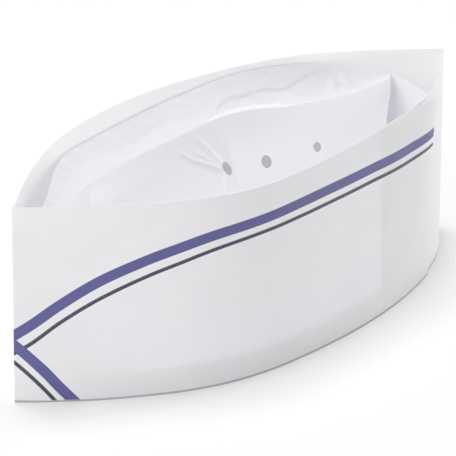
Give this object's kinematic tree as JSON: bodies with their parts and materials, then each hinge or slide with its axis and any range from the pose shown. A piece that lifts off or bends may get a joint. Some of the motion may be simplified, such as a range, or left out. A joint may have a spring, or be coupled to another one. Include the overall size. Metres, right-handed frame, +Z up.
{
  "type": "paper soda jerk hat",
  "caption": "Folded paper counter hat: a boat-shaped striped cuff, vented crown sides inside it and a soft tissue top, open below for the head.",
  "frame": {"origin": "on the surface that the rim stands on, under the middle of the hat", "axes": "+X from the front fold to the back fold, -Y to the near side (the wearer's left), +Z up"},
  "size_m": [0.26, 0.1098, 0.1025],
  "materials": {
    "cuff_paper": "satin",
    "crown_paper": "matte",
    "tissue": "matte"
  },
  "bodies": {
    "root": {"cuff": "cuff_paper", "crown_far_side": "crown_paper", "crown_near_side": "crown_paper", "crown_tissue_top": "tissue"}
  },
  "joints": []
}
